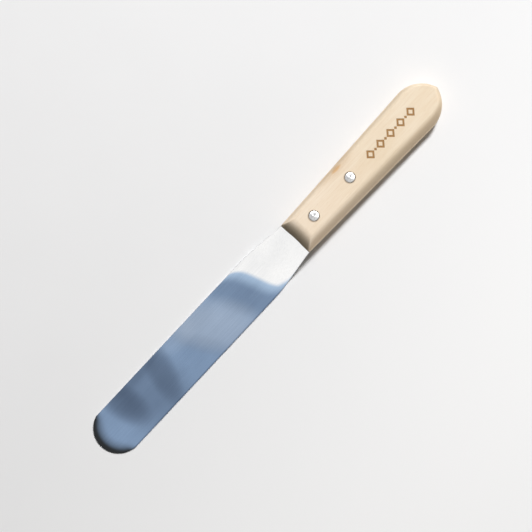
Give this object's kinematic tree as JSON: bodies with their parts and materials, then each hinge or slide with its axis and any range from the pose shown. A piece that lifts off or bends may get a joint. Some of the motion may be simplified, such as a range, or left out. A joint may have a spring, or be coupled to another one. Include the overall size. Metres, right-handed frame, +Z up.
{
  "type": "palette knife",
  "caption": "Cranked palette knife with a round-ended spring-steel blade, a tapered bent neck and a bevelled beech handle held by flush rivets.",
  "frame": {"origin": "under the middle of the knife's length, on the plane it rests on", "axes": "+X along the knife from the blade's round end to the handle's butt, +Y across the blade, +Z up from the surface it lies on"},
  "size_m": [0.2836, 0.0292, 0.0174],
  "materials": {
    "blade_steel": "polished spring steel with fine lengthwise brushing",
    "handle_wood": "pale sanded beech, lightly waxed",
    "rivet_metal": "turned bright metal heads, flush with the wood"
  },
  "bodies": {
    "root": {"blade": "blade_steel", "handle": "handle_wood", "front_rivet_sleeve": "rivet_metal", "front_rivet_stud": "rivet_metal", "rear_rivet_sleeve": "rivet_metal", "rear_rivet_stud": "rivet_metal"}
  },
  "joints": []
}
